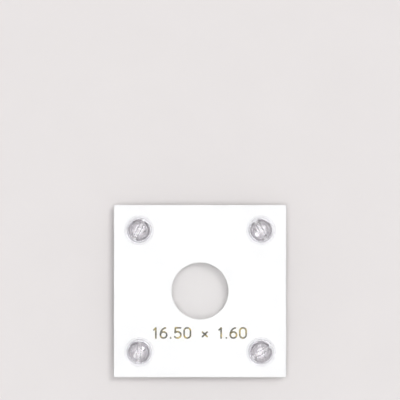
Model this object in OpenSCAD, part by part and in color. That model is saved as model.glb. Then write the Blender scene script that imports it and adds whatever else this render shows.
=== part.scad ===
// Coin holder: a square centre plate with a round seat for one coin, held between two clear
// covers by four clear plastic screws and barrel nuts. It lies flat on the nuts' heads.
// +Z points out of the front face, and the origin is under the middle, where the heads rest.

/* [Plates] */
// Side of all three square plates
plate_side = 50.8; // [36:0.1:80]
// Thickness of the clear rear cover
rear_cover_t = 1.6; // [1:0.1:4]
// Thickness of the centre plate, which holds the coin
centre_plate_t = 1.6; // [1:0.1:4]
// Thickness of the clear front cover
front_cover_t = 1.6; // [1:0.1:4]
// Width of the small bevel along every outer edge of a plate
edge_break = 0.12; // [0.05:0.01:0.4]

/* [Coin seat] */
// Diameter of the coin that the seat is cut for
coin_d = 16.5; // [8:0.1:20]
// Room left all round the coin
coin_gap = 0.15; // [0.05:0.05:0.5]

/* [Corner fasteners] */
// Outside diameter of the screws' threaded shanks
shank_d = 4.4; // [3:0.1:5.6]
// Room left all round a shank in its nut
shank_gap = 0.05; // [0.02:0.01:0.1]
// Wall of the nuts' hollow barrels
barrel_wall = 0.7; // [0.4:0.1:1.2]
// Room left all round a barrel in its hole
barrel_gap = 0.1; // [0.05:0.01:0.3]
// How far a barrel's end stays below the front cover's outer face
barrel_short = 0.3; // [0.1:0.05:0.5]
// How much shorter a shank is than the three plates together
shank_short = 0.6; // [0.4:0.05:1]
// Room left under a shank's tip, in the nut
tip_gap = 0.5; // [0.1:0.05:0.5]

/* [Heads] */
// How far the screw heads and nut heads reach past the edge of a corner hole
head_lap = 1.25; // [0.8:0.05:2]
// Room between a head's rim and the edges of the plates
head_edge_room = 3.1; // [0.5:0.1:6]
// Height of the straight rim of a head
rim_h = 0.5; // [0.3:0.1:1]
// Height of the dome above the rim
dome_h = 1.5; // [1:0.1:2]
// Width of the screwdriver slot
slot_w = 1.2; // [0.6:0.1:1.6]
// Depth of the slot at the middle of the dome
slot_depth = 0.8; // [0.4:0.1:0.9]
// Angle of each screw's slot, as the screws happened to be left
screw_slot_angles = [62, 118, 31, 84];
// Angle of each nut's slot
nut_slot_angles = [15, 140, 97, 48];

/* [Hidden] */
$fn = 96;
eps = 0.5;

seat_d = coin_d + 2 * coin_gap;
bore_d = shank_d + 2 * shank_gap;
barrel_d = bore_d + 2 * barrel_wall;
hole_d = barrel_d + 2 * barrel_gap;
head_d = hole_d + 2 * head_lap;
hole_inset = head_d / 2 + head_edge_room;
stack_t = rear_cover_t + centre_plate_t + front_cover_t;
barrel_l = stack_t - barrel_short;
shank_l = stack_t - shank_short;
bore_depth = shank_l - barrel_short + tip_gap;

// The dome is a cap of a sphere. The slot takes away its crown, so a head is a little lower than
// rim and dome together, and that is the height of the plates above the surface below.
dome_r = (pow(head_d / 2, 2) + pow(dome_h, 2)) / (2 * dome_h);
crown_cut = dome_r - sqrt(pow(dome_r, 2) - pow(slot_w / 2, 2));
head_h = rim_h + dome_h - crown_cut;

rear_z = head_h;
centre_z = rear_z + rear_cover_t;
front_z = centre_z + centre_plate_t;
top_z = front_z + front_cover_t;

// The corner holes, clockwise from the upper left as seen from the front
corner = plate_side / 2 - hole_inset;
corners = [[-corner, corner], [corner, corner], [corner, -corner], [-corner, -corner]];

// A rectangle w wide and h high with its corners cut off by the edge bevel, centred in x
module bevelled_rect(w, h) {
    b = edge_break;
    x = w / 2;
    polygon([[-x + b, 0], [x - b, 0], [x, b], [x, h - b], [x - b, h], [-x + b, h], [-x, h - b], [-x, b]]);
}

// A square sheet t thick, standing on z = 0, with every outer edge bevelled
module sheet(t) {
    intersection() {
        translate([0, plate_side / 2 + eps, 0])
            rotate([90, 0, 0])
                linear_extrude(plate_side + 2 * eps)
                    bevelled_rect(plate_side, t);
        translate([-plate_side / 2 - eps, 0, 0])
            rotate([90, 0, 90])
                linear_extrude(plate_side + 2 * eps)
                    bevelled_rect(plate_side, t);
        translate([0, -plate_side / 2, -eps])
            linear_extrude(t + 2 * eps)
                bevelled_rect(plate_side, plate_side);
    }
}

// A sheet with the four corner holes
module drilled_sheet(t) {
    difference() {
        sheet(t);
        for (c = corners)
            translate([c[0], c[1], -eps])
                cylinder(d = hole_d, h = t + 2 * eps);
    }
}

// A domed head with its rim on z = 0 and its slot across the top
module head(slot_angle) {
    difference() {
        union() {
            cylinder(d = head_d, h = rim_h);
            intersection() {
                translate([0, 0, rim_h + dome_h - dome_r])
                    sphere(r = dome_r);
                translate([0, 0, rim_h])
                    cylinder(d = head_d, h = dome_h + eps);
            }
        }
        rotate([0, 0, slot_angle])
            translate([-head_d / 2 - eps, -slot_w / 2, rim_h + dome_h - slot_depth])
                cube([head_d + 2 * eps, slot_w, slot_depth + eps]);
    }
}

module rear_cover() {
    color([0.93, 0.95, 0.96, 0.35])
        translate([0, 0, rear_z])
            drilled_sheet(rear_cover_t);
}

module centre_plate() {
    color([0.97, 0.97, 0.96])
        translate([0, 0, centre_z])
            difference() {
                drilled_sheet(centre_plate_t);
                translate([0, 0, -eps])
                    cylinder(d = seat_d, h = centre_plate_t + 2 * eps);
            }
}

module front_cover() {
    color([0.93, 0.95, 0.96, 0.35])
        translate([0, 0, front_z])
            drilled_sheet(front_cover_t);
}

// A screw in corner i: its head rests on the front cover and its shank reaches down into the nut
module screw(i) {
    color([0.9, 0.9, 0.94, 0.5])
        translate([corners[i][0], corners[i][1], top_z]) {
            head(screw_slot_angles[i]);
            translate([0, 0, -shank_l])
                cylinder(d = shank_d, h = shank_l + rim_h / 2);
        }
}

// A nut in corner i: its head rests under the rear cover and its barrel fills the three holes
module nut(i) {
    color([0.9, 0.9, 0.94, 0.5])
        translate([corners[i][0], corners[i][1], rear_z])
            difference() {
                union() {
                    mirror([0, 0, 1])
                        head(nut_slot_angles[i]);
                    translate([0, 0, -rim_h / 2])
                        cylinder(d = barrel_d, h = barrel_l + rim_h / 2);
                }
                translate([0, 0, barrel_l - bore_depth])
                    cylinder(d = bore_d, h = bore_depth + eps);
            }
}

rear_cover();
centre_plate();
front_cover();
screw(0);  // screw_1
screw(1);  // screw_2
screw(2);  // screw_3
screw(3);  // screw_4
nut(0);  // nut_1
nut(1);  // nut_2
nut(2);  // nut_3
nut(3);  // nut_4
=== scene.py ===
import math

import bmesh
import bpy
import numpy as np
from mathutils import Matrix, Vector
from mathutils.geometry import tessellate_polygon


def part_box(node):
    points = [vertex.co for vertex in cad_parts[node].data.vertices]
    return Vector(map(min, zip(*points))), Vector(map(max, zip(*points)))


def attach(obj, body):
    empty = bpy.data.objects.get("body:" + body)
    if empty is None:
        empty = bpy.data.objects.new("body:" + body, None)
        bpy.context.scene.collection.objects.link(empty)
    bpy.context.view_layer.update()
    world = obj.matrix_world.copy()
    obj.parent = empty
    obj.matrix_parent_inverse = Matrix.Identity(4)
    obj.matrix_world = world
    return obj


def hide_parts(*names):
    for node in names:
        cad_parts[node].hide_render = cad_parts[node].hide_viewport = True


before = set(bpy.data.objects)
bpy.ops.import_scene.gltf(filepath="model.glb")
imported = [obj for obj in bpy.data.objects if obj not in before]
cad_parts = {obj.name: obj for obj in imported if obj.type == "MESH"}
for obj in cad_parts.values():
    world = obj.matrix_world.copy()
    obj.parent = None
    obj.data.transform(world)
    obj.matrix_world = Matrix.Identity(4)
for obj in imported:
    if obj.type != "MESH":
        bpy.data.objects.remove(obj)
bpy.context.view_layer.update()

MM = 0.001
SCREWS = [f"screw_{i}" for i in range(1, 5)]
NUTS = [f"nut_{i}" for i in range(1, 5)]

# ---------------------------------------------------------------- sizes taken from the frame
REAR_LOW, REAR_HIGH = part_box("rear_cover")
CENTRE_LOW, CENTRE_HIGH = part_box("centre_plate")
FRONT_LOW, FRONT_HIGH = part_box("front_cover")
HALF_SIDE = CENTRE_HIGH.x
CORNERS = [(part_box(n)[0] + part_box(n)[1]) / 2 for n in NUTS]
HEAD_R = (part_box("nut_1")[1].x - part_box("nut_1")[0].x) / 2

# ---------------------------------------------------------------- sizes of the plates
HOLE_R = 3.05 * MM
SEAT_R = 8.4 * MM
EDGE_ROUND = 0.12 * MM  # along the outer edges and round the holes
CORNER_ROUND = 0.3 * MM
AIR_GAP = 0.04 * MM  # the film of air left between two sheets laid together
HOLE_POINTS = 96
WELD = 1e-7  # points nearer to each other than this are one

# ---------------------------------------------------------------- sizes of the heads
HEAD_GAP = 0.03 * MM  # the film of air between a head and the sheet under it
RIM_H = 0.5 * MM - HEAD_GAP  # lower by that film, which keeps the crown at its height
RIM_ROUND = 0.12 * MM  # how far inside the rim the dome ends and the rim's rounding starts
TOP_R = HEAD_R - RIM_ROUND
DOME_H = 1.5 * MM
DOME_R = (HEAD_R**2 + DOME_H**2) / (2 * DOME_H)
SLOT_W = 1.2 * MM
SLOT_DEPTH = 0.8 * MM
SLOT_DRAFT = 9  # how much the slot's walls rise for each step outwards
SLOT_ROUND = 0.32 * MM  # width of the curve from the slot's floor to each wall
LIP_ROUND = 0.22 * MM  # how much the slot's lips are softened
SCREW_SLOTS = [62, 118, 31, 84]  # degrees
NUT_SLOTS = [15, 140, 97, 48]
EVEN_ROWS = 49  # rows of points over the whole of a head's top
WALL_ROWS = 13  # closer rows along each of the slot's walls
WALL_INSIDE = 0.2 * MM  # how far inside each of the slot's walls the close rows reach
WALL_OUTSIDE = 0.16 * MM
ROW_ROOM = 0.05 * MM  # the even rows keep this far from the close ones
COLUMNS = 48  # faces along each row

# ---------------------------------------------------------------- sizes of the shanks and barrels
BARREL_R = 2.95 * MM
BARREL_TOP_GAP = 0.3 * MM  # from the barrel's end up to the front cover's outer face
SHANK_R = 2.2 * MM
SHANK_L = 4.2 * MM
TIP_GAP = 0.5 * MM  # from a shank's tip to the bottom of its nut's bore
THREAD_PITCH = 0.7 * MM
THREAD_DEPTH = 0.25 * MM
THREAD_GAP = 0.05 * MM  # between the two threads, all round
THREAD_FLAT = 0.22  # share of the pitch that is flat at the root, and again at the crest
THREAD_FADE = 0.3 * MM  # the length over which a thread grows to its full depth
SHANK_THREAD_START = 0.3 * MM  # past the head's underside
SHANK_THREAD_END = 0.25 * MM  # short of the shank's tip
BORE_THREAD_START = 0.2 * MM  # above the bore's bottom
BORE_THREAD_END = 0.15 * MM  # short of the barrel's end
RINGS_A_TURN = 14

# ---------------------------------------------------------------- sizes of the stamped mark
MARK = "16.50 x 1.60"
MARK_H = 3.0 * MM
MARK_BASE = 11.5 * MM  # the figures' feet, above the plate's lower edge
MARK_WIDTH = 27.4 * MM
FIGURE_GAP = 0.26  # share of the figures' height
STROKE_W = 0.5 * MM
FOIL_T = 0.02 * MM

# ---------------------------------------------------------------- floor, light and camera
FLOOR_HALF = 6.0
FLOOR_PALE = (0.69, 0.664, 0.658)
FLOOR_DARK = (0.68, 0.654, 0.648)
KEY_AZIMUTH = 45  # clockwise from +Y, as seen from above
KEY_ELEVATION = 66
KEY_WIDTH = 13
KEY_STRENGTH = 0.8
VIEW_WIDTH = 118.1 * MM  # what the frame's width covers on the front cover
CAMERA_Y = 26.9 * MM  # this far up the picture from the plates' middle
CAMERA_H = 900 * MM
CAMERA_REACH = 10
SENSOR = 36
BOUNCES = 32  # light turns many times inside the clear pieces
CLEAR_LAYERS = 48  # clear surfaces that light may cross on a straight way

# Degrees from straight overhead, and the colour there: the opening that the camera looks through,
# the ring of lamps round it, the dim room, and the horizon, about as pale as the floor
STUDIO = [
    (0, (1.5, 1.5, 1.5)),
    (6, (1.5, 1.5, 1.5)),
    (7, (6.5, 6.5, 6.5)),
    (15, (6.5, 6.5, 6.5)),
    (19, (0.5, 0.5, 0.51)),
    (60, (0.42, 0.42, 0.43)),
    (76, (0.81, 0.79, 0.785)),
    (89, (0.822, 0.792, 0.783)),
]


# ---------------------------------------------------------------- meshes
def new_piece(name, verts, faces, materials, flat_faces=0):
    """A mesh object with its normals outwards. Its first flat_faces faces are shaded flat."""
    mesh = bpy.data.meshes.new(name)
    mesh.from_pydata([tuple(v) for v in verts], [], faces)
    bm = bmesh.new()
    bm.from_mesh(mesh)
    bmesh.ops.remove_doubles(bm, verts=bm.verts, dist=WELD)
    bmesh.ops.recalc_face_normals(bm, faces=bm.faces)
    bm.to_mesh(mesh)
    bm.free()
    for i, p in enumerate(mesh.polygons):
        p.use_smooth = i >= flat_faces
    for m in materials:
        mesh.materials.append(m)
    piece = bpy.data.objects.new(name, mesh)
    bpy.context.scene.collection.objects.link(piece)
    return piece


# ---------------------------------------------------------------- the three sheets
def square_loop(half, corner, steps=5):
    """A square with rounded corners, anticlockwise."""
    points = []
    for turn in range(4):
        for k in range(steps + 1):
            a = math.radians(90 * turn + 90 * k / steps)
            cx = (half - corner) * (1 if turn in (0, 3) else -1)
            cy = (half - corner) * (1 if turn in (0, 1) else -1)
            points.append((cx + corner * math.cos(a), cy + corner * math.sin(a)))
    return points


def circle_loop(x, y, r, points=HOLE_POINTS):
    turn = 2 * math.pi / points
    return [(x + r * math.cos(k * turn), y + r * math.sin(k * turn)) for k in range(points)]


def sheet_loops(inset, holes):
    """The sheet's outline and holes, with every edge moved into the material by inset."""
    outline = square_loop(HALF_SIDE - inset, CORNER_ROUND - inset)
    return [outline] + [circle_loop(x, y, r + inset) for x, y, r in holes]


def edge_profile(low, high, steps=4):
    """(inset, height) up a sheet's edge, with both corners rounded."""
    turns = [math.radians(90 * k / steps) for k in range(steps + 1)]
    lower = [(EDGE_ROUND * (1 - math.sin(a)), low + EDGE_ROUND * (1 - math.cos(a))) for a in turns]
    upper = [(inset, low + high - z) for inset, z in reversed(lower)]
    return lower + upper


def sheet(name, low, high, holes, face_material, edge_material):
    """A square sheet from height low to high, with holes given as (x, y, radius)."""
    rings = []
    for inset, z in edge_profile(low, high):
        rings.append([[(x, y, z) for x, y in loop] for loop in sheet_loops(inset, holes)])
    verts, starts = [], []
    for ring in rings:
        starts.append([])
        for loop in ring:
            starts[-1].append(len(verts))
            verts += loop
    faces = []
    for ring, first in ((rings[0], starts[0][0]), (rings[-1], starts[-1][0])):
        flat = [[Vector(p) for p in loop] for loop in ring]
        faces += [tuple(first + i for i in t) for t in tessellate_polygon(flat)]
    caps = len(faces)
    for level in range(len(rings) - 1):
        for k, loop in enumerate(rings[level]):
            a, b, n = starts[level][k], starts[level + 1][k], len(loop)
            faces += [(a + i, a + (i + 1) % n, b + (i + 1) % n, b + i) for i in range(n)]
    piece = new_piece(name, verts, faces, [face_material, edge_material], flat_faces=caps)
    for p in piece.data.polygons[caps:]:
        p.material_index = 1
    return piece


# ---------------------------------------------------------------- heads of the screws and nuts
def soft_min(a, b, k):
    """The smaller of a and b, rounded over k where they meet."""
    h = np.clip(k - np.abs(a - b), 0, None) / k
    return np.minimum(a, b) - h * h * k / 4


def dome_height(u, v):
    """Height of a head's top over its underside, with the slot along u."""
    dome = RIM_H + DOME_H - DOME_R + np.sqrt(DOME_R**2 - u * u - v * v)
    wall = np.clip(np.abs(v) - SLOT_W / 2, 0, None) * SLOT_DRAFT
    floor_round = np.clip(np.abs(v) - (SLOT_W / 2 - SLOT_ROUND), 0, None) ** 2 / (2 * SLOT_ROUND)
    slot = RIM_H + DOME_H - SLOT_DEPTH + wall + floor_round
    return soft_min(dome, slot, LIP_ROUND)


def head_rows():
    """Where rows of points lie across the slot: even round the rim, and close at the slot's walls."""
    even = TOP_R * np.sin(np.linspace(-np.pi / 2, np.pi / 2, EVEN_ROWS))
    wall = np.linspace(SLOT_W / 2 - WALL_INSIDE, SLOT_W / 2 + WALL_OUTSIDE, WALL_ROWS)
    clear = (np.abs(even) < wall[0] - ROW_ROOM) | (np.abs(even) > wall[-1] + ROW_ROOM)
    return np.sort(np.concatenate([even[clear], wall, -wall]))


def ring_angles(rows):
    """The angles of the rows' ends round the head, anticlockwise from the lowest row."""
    right = np.arcsin(np.clip(rows / TOP_R, -1, 1))
    return np.concatenate([right, np.pi - right[-2:0:-1]])


def head_top(rows):
    """The head's top as a grid of rows. Returns its points, its faces and its outer ring's indices."""
    points, faces, index = [], [], []
    for i, v in enumerate(rows):
        half = math.sqrt(max(TOP_R**2 - v * v, 0))
        tip = i in (0, len(rows) - 1)
        us = [0.0] if tip else np.linspace(-half, half, COLUMNS + 1)
        index.append([len(points) + k for k in range(len(us))])
        points += [(u, v, float(dome_height(np.array(u), np.array(v)))) for u in us]
    for low, high in zip(index[:-1], index[1:]):
        for k in range(COLUMNS):
            a = low[0 if len(low) == 1 else k], low[0 if len(low) == 1 else k + 1]
            b = high[0 if len(high) == 1 else k], high[0 if len(high) == 1 else k + 1]
            faces.append(tuple(dict.fromkeys([a[0], a[1], b[1], b[0]])))
    ring = [r[-1] for r in index] + [r[0] for r in index[-2:0:-1]]
    return points, faces, ring


def head_side():
    """(radius, height) from the dome's edge round the rim and in along the underside."""
    edge = float(dome_height(np.array(TOP_R), np.array(0.0)))
    return [
        (HEAD_R - 0.05 * MM, edge - 0.05 * MM),
        (HEAD_R - 0.01 * MM, edge - 0.14 * MM),
        (HEAD_R, edge - 0.22 * MM),
        (HEAD_R, 0.10 * MM),
        (HEAD_R - 0.03 * MM, 0.03 * MM),
        (HEAD_R - 0.10 * MM, 0.0),
    ]


# ---------------------------------------------------------------- shanks, barrels and threads
def thread_wave(theta, z):
    """0 at a thread's root and 1 at its crest, at angle theta and height z."""
    phase = np.mod(z / THREAD_PITCH - theta / (2 * np.pi), 1)
    rise = np.clip((np.abs(2 * phase - 1) - THREAD_FLAT) / (1 - 2 * THREAD_FLAT), 0, 1)
    return rise * rise * (3 - 2 * rise)


def threaded(start, end, root, opens=False):
    """Rings along a thread between two distances from the underside, fading in and out.

    A thread that opens fades at its end to the depth of its grooves, as a countersunk mouth does.
    """
    count = int(round((end - start) / THREAD_PITCH * RINGS_A_TURN)) + 1
    rings = []
    for d in np.linspace(start, end, count):
        share = min(1.0, (d - start) / THREAD_FADE, (end - d) / THREAD_FADE)
        opening = THREAD_DEPTH * (1 - share) if opens and end - d < THREAD_FADE else 0.0
        rings.append((root + opening, float(d), share))
    return rings


def plain_rings(radius, distance, outline):
    """Rings without a thread. The outline's points are mm out from radius and mm past distance."""
    return [(radius + out * MM, distance + past * MM, 0) for out, past in outline]


def screw_tail():
    """From under the head down the shank and over its tip."""
    root = SHANK_R - THREAD_DEPTH
    neck = plain_rings(root, 0, [(0.3, 0), (0.08, 0.06), (0, 0.2)])
    thread = threaded(SHANK_THREAD_START, SHANK_L - SHANK_THREAD_END, root)
    tip = plain_rings(root, SHANK_L, [(-0.02, -0.2), (-0.2, -0.02), (-0.3, 0)])
    return neck + thread + tip


def nut_tail():
    """From under the head along the barrel, over its end and down its bore."""
    length = FRONT_HIGH.z - REAR_LOW.z - BARREL_TOP_GAP
    bottom = length - (SHANK_L - BARREL_TOP_GAP + TIP_GAP)
    root = SHANK_R - THREAD_DEPTH + THREAD_GAP
    neck = plain_rings(BARREL_R, 0, [(0.12, 0), (0, 0.1)])
    lip = plain_rings(BARREL_R, length, [(0, -0.12), (-0.04, -0.03), (-0.12, 0)])
    mouth = plain_rings(SHANK_R + THREAD_GAP, length, [(0.1, 0), (0, -0.1)])
    bore = threaded(bottom + BORE_THREAD_START, length - BORE_THREAD_END, root, opens=True)
    end = plain_rings(root, bottom, [(0, 0.1), (-0.15, 0)])
    return neck + lip + mouth + bore[::-1] + end


def fastener(name, centre, base, side, slot_deg, tail, material):
    """A head whose underside is at height base, with its dome towards side, and the rings of tail.

    tail is a list of (radius, distance from the underside, thread): a ring's radius follows the
    thread by that much of its depth.
    """
    turn = math.radians(slot_deg)
    rows = head_rows()
    angles = ring_angles(rows)
    points, faces, ring = head_top(rows)

    def place(u, v, z):
        x = centre.x + u * math.cos(turn) - v * math.sin(turn)
        y = centre.y + u * math.sin(turn) + v * math.cos(turn)
        return (x, y, base + side * z)

    verts = [place(*p) for p in points]
    profile = [(r, z, 0.0) for r, z in head_side()] + [(r, -d, thread) for r, d, thread in tail]
    for r, z, thread in profile:
        radii = r + thread * THREAD_DEPTH * thread_wave(angles + turn, base + side * z)
        first = len(verts)
        verts += [place(q * math.cos(a), q * math.sin(a), z) for q, a in zip(radii, angles)]
        new = list(range(first, first + len(angles)))
        n = len(new)
        faces += [(ring[k], ring[(k + 1) % n], new[(k + 1) % n], new[k]) for k in range(n)]
        ring = new
    faces.append(tuple(ring))
    return new_piece(name, verts, faces, [material])


# ---------------------------------------------------------------- the stamped size mark
def arc(cx, cy, rx, ry, start, end, steps=18):
    """Points along part of an ellipse, in degrees."""
    turns = [math.radians(start + (end - start) * k / steps) for k in range(steps + 1)]
    return [(cx + rx * math.cos(a), cy + ry * math.sin(a)) for a in turns]


ZERO_TOP = arc(0.31, 0.70, 0.29, 0.30, 0, 180)
ZERO_FOOT = arc(0.31, 0.30, 0.29, 0.30, 180, 360)

# Each figure's width and its strokes, as shares of the figures' height
FIGURES = {
    "0": (0.62, [ZERO_TOP + ZERO_FOOT + ZERO_TOP[:1]]),
    "1": (0.34, [[(0.02, 0.80), (0.20, 0.99)], [(0.20, 0.0), (0.20, 1.0)]]),
    "5": (
        0.62,
        [
            [(0.57, 1.0), (0.10, 1.0)],
            [(0.10, 1.0), (0.07, 0.54)],
            arc(0.29, 0.31, 0.31, 0.31, 135, -145, 28),
        ],
    ),
    "6": (0.62, [arc(0.31, 0.30, 0.29, 0.30, 0, 360, 32), arc(0.56, 0.30, 0.54, 0.70, 180, 98)]),
    ".": (0.16, [[(0.08, 0.0), (0.08, 0.03)]]),
    "x": (0.46, [[(0.02, 0.14), (0.44, 0.58)], [(0.02, 0.58), (0.44, 0.14)]]),
    " ": (0.55, []),
}

# From one side of a stroke to the other: the place as a share of its half width, and the height as
# a share of the foil's thickness
FOIL_PROFILE = [(-1, 0), (-0.86, 0.8), (-0.5, 1), (0, 1), (0.5, 1), (0.86, 0.8), (1, 0)]
CAP_TURNS = [math.radians(a) for a in (0, 20, 40, 60, 80)]
CAP_NARROWEST = 0.02  # share of a stroke's width, at the very tip of its round end
CAP_LOWEST = 0.3  # share of the foil's thickness, at that tip


def stroke_stations(points):
    """(place, direction, share of the full width) along a stroke, with both its ends rounded."""
    p = [Vector(q) for q in points]
    directions = []
    for k in range(len(p)):
        d = p[min(k + 1, len(p) - 1)] - p[max(k - 1, 0)]
        directions.append(d.normalized())
    half = STROKE_W / 2
    first, last = directions[0], directions[-1]
    start = [(p[0] - first * half * math.cos(a), first, math.sin(a)) for a in CAP_TURNS]
    middle = [(q, d, 1.0) for q, d in zip(p, directions)]
    end = [(p[-1] + last * half * math.cos(a), last, math.sin(a)) for a in CAP_TURNS[::-1]]
    return start + middle + end


def stroke(points, z):
    """A flat rounded stroke of foil through points, standing on height z."""
    verts, faces = [], []
    for q, d, share in stroke_stations(points):
        side = Vector((-d.y, d.x)) * (STROKE_W / 2) * max(share, CAP_NARROWEST)
        thick = FOIL_T * max(share, CAP_LOWEST)
        verts += [(q.x + side.x * t, q.y + side.y * t, z + thick * h) for t, h in FOIL_PROFILE]
    n = len(FOIL_PROFILE)
    for k in range(len(verts) // n - 1):
        for j in range(n):
            a, b = k * n + j, k * n + (j + 1) % n
            faces.append((a, b, b + n, a + n))
    faces.append(tuple(range(n)))
    faces.append(tuple(range(len(verts) - n, len(verts))))
    return verts, faces


def size_mark(z, material):
    """The line of figures under the coin seat, centred on the plate."""
    natural = sum(FIGURES[c][0] for c in MARK) + FIGURE_GAP * (len(MARK) - 1)
    stretch = MARK_WIDTH / (natural * MARK_H)
    x = -MARK_WIDTH / 2
    y = CENTRE_LOW.y + MARK_BASE
    verts, faces = [], []
    for c in MARK:
        width, strokes = FIGURES[c]
        for s in strokes:
            points = [(x + px * MARK_H * stretch, y + py * MARK_H) for px, py in s]
            v, f = stroke(points, z)
            faces += [tuple(i + len(verts) for i in face) for face in f]
            verts += v
        x += (width + FIGURE_GAP) * MARK_H * stretch
    return new_piece("size_mark", verts, faces, [material])


# ---------------------------------------------------------------- materials
PLASTIC_IOR = 1.49
FACE_ON_END = 0.55  # the facing up to which clear plastic counts as seen face on
EDGE_ON_START = 0.95  # and from which it counts as seen edge on
WHITE_GRAIN_H = 0.004 * MM
FOIL_GRAIN_H = 0.002 * MM


def new_material(name):
    m = bpy.data.materials.new(name)
    m.use_nodes = True
    nodes, links = m.node_tree.nodes, m.node_tree.links
    nodes.clear()
    return m, nodes, links


def noise(nodes, links, scale, detail, stretch=(1, 1, 1)):
    """Noise in the piece's own coordinates. scale is in waves a metre."""
    coords = nodes.new("ShaderNodeTexCoord")
    mapping = nodes.new("ShaderNodeMapping")
    mapping.inputs["Scale"].default_value = stretch
    texture = nodes.new("ShaderNodeTexNoise")
    texture.inputs["Scale"].default_value = scale
    texture.inputs["Detail"].default_value = detail
    links.new(coords.outputs["Object"], mapping.inputs["Vector"])
    links.new(mapping.outputs["Vector"], texture.inputs["Vector"])
    return texture.outputs["Fac"]


def ramp(nodes, links, fac, stops):
    """The colour at fac along stops of (place, colour)."""
    node = nodes.new("ShaderNodeValToRGB")
    elements = node.color_ramp.elements
    while len(elements) < len(stops):
        elements.new(0.5)
    for e, (at, colour) in zip(elements, stops):
        e.position = at
        e.color = (*colour, 1)
    links.new(fac, node.inputs["Fac"])
    return node.outputs["Color"]


def bump(nodes, links, height, distance, normal=None):
    """A normal for a surface that height raises by up to distance, over another bump's normal."""
    node = nodes.new("ShaderNodeBump")
    node.inputs["Strength"].default_value = 1
    node.inputs["Distance"].default_value = distance
    links.new(height, node.inputs["Height"])
    if normal is not None:
        links.new(normal, node.inputs["Normal"])
    return node.outputs["Normal"]


def set_surface(nodes, links, surface):
    out = nodes.new("ShaderNodeOutputMaterial")
    links.new(surface, out.inputs["Surface"])


def lets_light_by(nodes, links, face_on, edge_on):
    """What stands in for clear plastic on light's way through. It dims most where a surface is steep."""
    facing = nodes.new("ShaderNodeLayerWeight")
    through = nodes.new("ShaderNodeBsdfTransparent")
    stops = [(0.0, face_on), (FACE_ON_END, face_on), (EDGE_ON_START, edge_on)]
    links.new(ramp(nodes, links, facing.outputs["Facing"], stops), through.inputs["Color"])
    return through.outputs[0]


def clear_plastic(name, tint, face_on, edge_on, roughness, wave, scratch):
    """Clear plastic. wave and scratch are the depths of its slow waviness and its fine lines."""
    m, nodes, links = new_material(name)
    p = nodes.new("ShaderNodeBsdfPrincipled")
    p.inputs["Base Color"].default_value = (*tint, 1)
    p.inputs["Transmission Weight"].default_value = 1
    p.inputs["IOR"].default_value = PLASTIC_IOR
    p.inputs["Roughness"].default_value = roughness
    normal = bump(nodes, links, noise(nodes, links, scale=90, detail=2), wave)
    if scratch > 0:
        lines = noise(nodes, links, scale=900, detail=4, stretch=(1, 0.15, 1))
        normal = bump(nodes, links, lines, scratch, normal)
    links.new(normal, p.inputs["Normal"])
    through = lets_light_by(nodes, links, face_on, edge_on)
    surface = p.outputs[0]
    path = nodes.new("ShaderNodeLightPath")
    for ray in ("Is Diffuse Ray", "Is Shadow Ray"):
        mix = nodes.new("ShaderNodeMixShader")
        links.new(path.outputs[ray], mix.inputs[0])
        links.new(surface, mix.inputs[1])
        links.new(through, mix.inputs[2])
        surface = mix.outputs[0]
    set_surface(nodes, links, surface)
    return m


def white_sheet(name, roughness, grain_scale, grain_detail, grain_stretch):
    """Opaque white plastic with a fine grain, very slightly uneven in colour."""
    m, nodes, links = new_material(name)
    p = nodes.new("ShaderNodeBsdfPrincipled")
    stops = [(0.3, (0.775, 0.777, 0.775)), (0.7, (0.795, 0.797, 0.795))]
    clouds = noise(nodes, links, scale=160, detail=4)
    links.new(ramp(nodes, links, clouds, stops), p.inputs["Base Color"])
    p.inputs["IOR"].default_value = PLASTIC_IOR
    p.inputs["Roughness"].default_value = roughness
    grain = noise(nodes, links, grain_scale, grain_detail, grain_stretch)
    links.new(bump(nodes, links, grain, WHITE_GRAIN_H), p.inputs["Normal"])
    set_surface(nodes, links, p.outputs[0])
    return m


def foil(name):
    """Hot-stamped foil, mottled at random from bright gold to dark olive. The dark olive patches are
    painted reflection: darkness painted into the colour in place of the dim room and camera opening that
    the mirror-like foil reflects.
    """
    m, nodes, links = new_material(name)
    p = nodes.new("ShaderNodeBsdfPrincipled")
    # The two dark stops are painted dark reflection; only the gold stop is the foil's own colour
    stops = [(0.42, (0.013, 0.011, 0.001)), (0.52, (0.065, 0.052, 0.006)), (0.64, (0.42, 0.315, 0.045))]
    # Random mottle that sets where the foil shows gold and where it shows painted dark reflection
    mottle_and_painted_reflection = noise(nodes, links, scale=1100, detail=4)
    links.new(ramp(nodes, links, mottle_and_painted_reflection, stops), p.inputs["Base Color"])
    p.inputs["Metallic"].default_value = 0.5
    p.inputs["Specular IOR Level"].default_value = 0.2
    p.inputs["Roughness"].default_value = 0.18
    grain = noise(nodes, links, scale=4000, detail=2)
    links.new(bump(nodes, links, grain, FOIL_GRAIN_H), p.inputs["Normal"])
    set_surface(nodes, links, p.outputs[0])
    return m


def floor_paper():
    """Pale matt paper."""
    m, nodes, links = new_material("floor_paper")
    p = nodes.new("ShaderNodeBsdfPrincipled")
    stops = [(0.3, FLOOR_DARK), (0.7, FLOOR_PALE)]
    clouds = noise(nodes, links, scale=60, detail=3)
    links.new(ramp(nodes, links, clouds, stops), p.inputs["Base Color"])
    p.inputs["Roughness"].default_value = 0.9
    p.inputs["Specular IOR Level"].default_value = 0.1
    set_surface(nodes, links, p.outputs[0])
    return m


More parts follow.
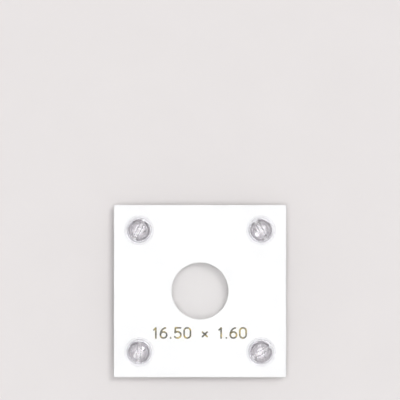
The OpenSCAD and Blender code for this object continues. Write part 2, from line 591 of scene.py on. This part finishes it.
CLEAR_SHEET = clear_plastic(
    "clear_sheet",
    tint=(1, 1, 1),
    face_on=(0.98, 0.98, 0.98),
    edge_on=(0.80, 0.81, 0.82),
    roughness=0.0,
    wave=0.003 * MM,
    scratch=0.0,
)
CLEAR_EDGE = clear_plastic(
    "clear_edge",
    tint=(0.99, 0.995, 1),
    face_on=(0.95, 0.95, 0.96),
    edge_on=(0.70, 0.71, 0.73),
    roughness=0.08,
    wave=0.003 * MM,
    scratch=0.002 * MM,
)
CLEAR_MOULDED = clear_plastic(
    "clear_moulded",
    tint=(0.99, 0.987, 1),
    face_on=(0.98, 0.978, 0.985),
    edge_on=(0.52, 0.51, 0.55),
    roughness=0.0,
    wave=0.006 * MM,
    scratch=0.0,
)
WHITE_FACE = white_sheet(
    "white_face",
    roughness=0.22,
    grain_scale=1500,
    grain_detail=3,
    grain_stretch=(1, 1, 1),
)
WHITE_EDGE = white_sheet(
    "white_edge",
    roughness=0.4,
    grain_scale=2500,
    grain_detail=2,
    grain_stretch=(1, 1, 0.1),
)
GOLD_FOIL = foil("gold_foil")

# ---------------------------------------------------------------- the object's pieces
corner_holes = [(c.x, c.y, HOLE_R) for c in CORNERS]
coin_hole = (0.0, 0.0, SEAT_R)

for name, low, high in (
    ("rear_cover", REAR_LOW.z, REAR_HIGH.z),
    ("front_cover", FRONT_LOW.z, FRONT_HIGH.z),
):
    piece = sheet(name + "_sheet", low, high, corner_holes, CLEAR_SHEET, CLEAR_EDGE)
    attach(piece, name)
    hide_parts(name)

white_low, white_high = CENTRE_LOW.z + AIR_GAP, CENTRE_HIGH.z - AIR_GAP
white_holes = corner_holes + [coin_hole]
plate = sheet("centre_plate_sheet", white_low, white_high, white_holes, WHITE_FACE, WHITE_EDGE)
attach(plate, "centre_plate")
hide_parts("centre_plate")

mark = size_mark(white_high, GOLD_FOIL)
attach(mark, "centre_plate")

for name, centre, angle in zip(SCREWS, CORNERS, SCREW_SLOTS):
    base = FRONT_HIGH.z + HEAD_GAP
    piece = fastener(name + "_moulding", centre, base, 1, angle, screw_tail(), CLEAR_MOULDED)
    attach(piece, name)
    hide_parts(name)

for name, centre, angle in zip(NUTS, CORNERS, NUT_SLOTS):
    base = REAR_LOW.z - HEAD_GAP
    piece = fastener(name + "_moulding", centre, base, -1, angle, nut_tail(), CLEAR_MOULDED)
    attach(piece, name)
    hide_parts(name)


# ---------------------------------------------------------------- making the floor, light and camera
def make_floor():
    half = FLOOR_HALF
    mesh = bpy.data.meshes.new("floor")
    corners = [(-half, -half, 0), (half, -half, 0), (half, half, 0), (-half, half, 0)]
    mesh.from_pydata(corners, [], [(0, 1, 2, 3)])
    mesh.materials.append(floor_paper())
    floor = bpy.data.objects.new("floor", mesh)
    bpy.context.scene.collection.objects.link(floor)


def make_key():
    """A soft lamp from the upper right, so far away that it lights the floor evenly."""
    azimuth, elevation = math.radians(KEY_AZIMUTH), math.radians(KEY_ELEVATION)
    level = math.cos(elevation)
    towards = Vector((math.sin(azimuth) * level, math.cos(azimuth) * level, math.sin(elevation)))
    data = bpy.data.lights.new("key", "SUN")
    data.angle = math.radians(KEY_WIDTH)
    data.energy = KEY_STRENGTH
    key = bpy.data.objects.new("key", data)
    key.rotation_mode = "QUATERNION"
    key.rotation_quaternion = (-towards).to_track_quat("-Z", "Y")
    bpy.context.scene.collection.objects.link(key)


def make_world():
    """A studio whose brightness depends only on the angle from straight overhead."""
    world = bpy.data.worlds.new("studio")
    world.use_nodes = True
    nodes, links = world.node_tree.nodes, world.node_tree.links
    coords = nodes.new("ShaderNodeTexCoord")
    split = nodes.new("ShaderNodeSeparateXYZ")
    angle = nodes.new("ShaderNodeMath")
    angle.operation = "ARCCOSINE"
    quarter = nodes.new("ShaderNodeMath")
    quarter.operation = "DIVIDE"
    quarter.inputs[1].default_value = math.pi / 2
    links.new(coords.outputs["Generated"], split.inputs[0])
    links.new(split.outputs["Z"], angle.inputs[0])
    links.new(angle.outputs[0], quarter.inputs[0])
    stops = [(degrees / 90, colour) for degrees, colour in STUDIO]
    links.new(ramp(nodes, links, quarter.outputs[0], stops), nodes["Background"].inputs["Color"])
    bpy.context.scene.world = world


def make_camera():
    """A camera that looks straight down and holds the object in the lower half of its frame."""
    data = bpy.data.cameras.new("camera")
    data.sensor_width = SENSOR
    data.lens = SENSOR * (CAMERA_H - FRONT_HIGH.z) / VIEW_WIDTH
    data.clip_end = CAMERA_REACH
    camera = bpy.data.objects.new("camera", data)
    camera.location = (0, CAMERA_Y, CAMERA_H)
    bpy.context.scene.collection.objects.link(camera)
    bpy.context.scene.camera = camera


make_floor()
make_key()
make_world()
make_camera()

scene = bpy.context.scene
scene.view_settings.view_transform = "Standard"
scene.cycles.max_bounces = BOUNCES
scene.cycles.glossy_bounces = BOUNCES
scene.cycles.transmission_bounces = BOUNCES
scene.cycles.transparent_max_bounces = CLEAR_LAYERS
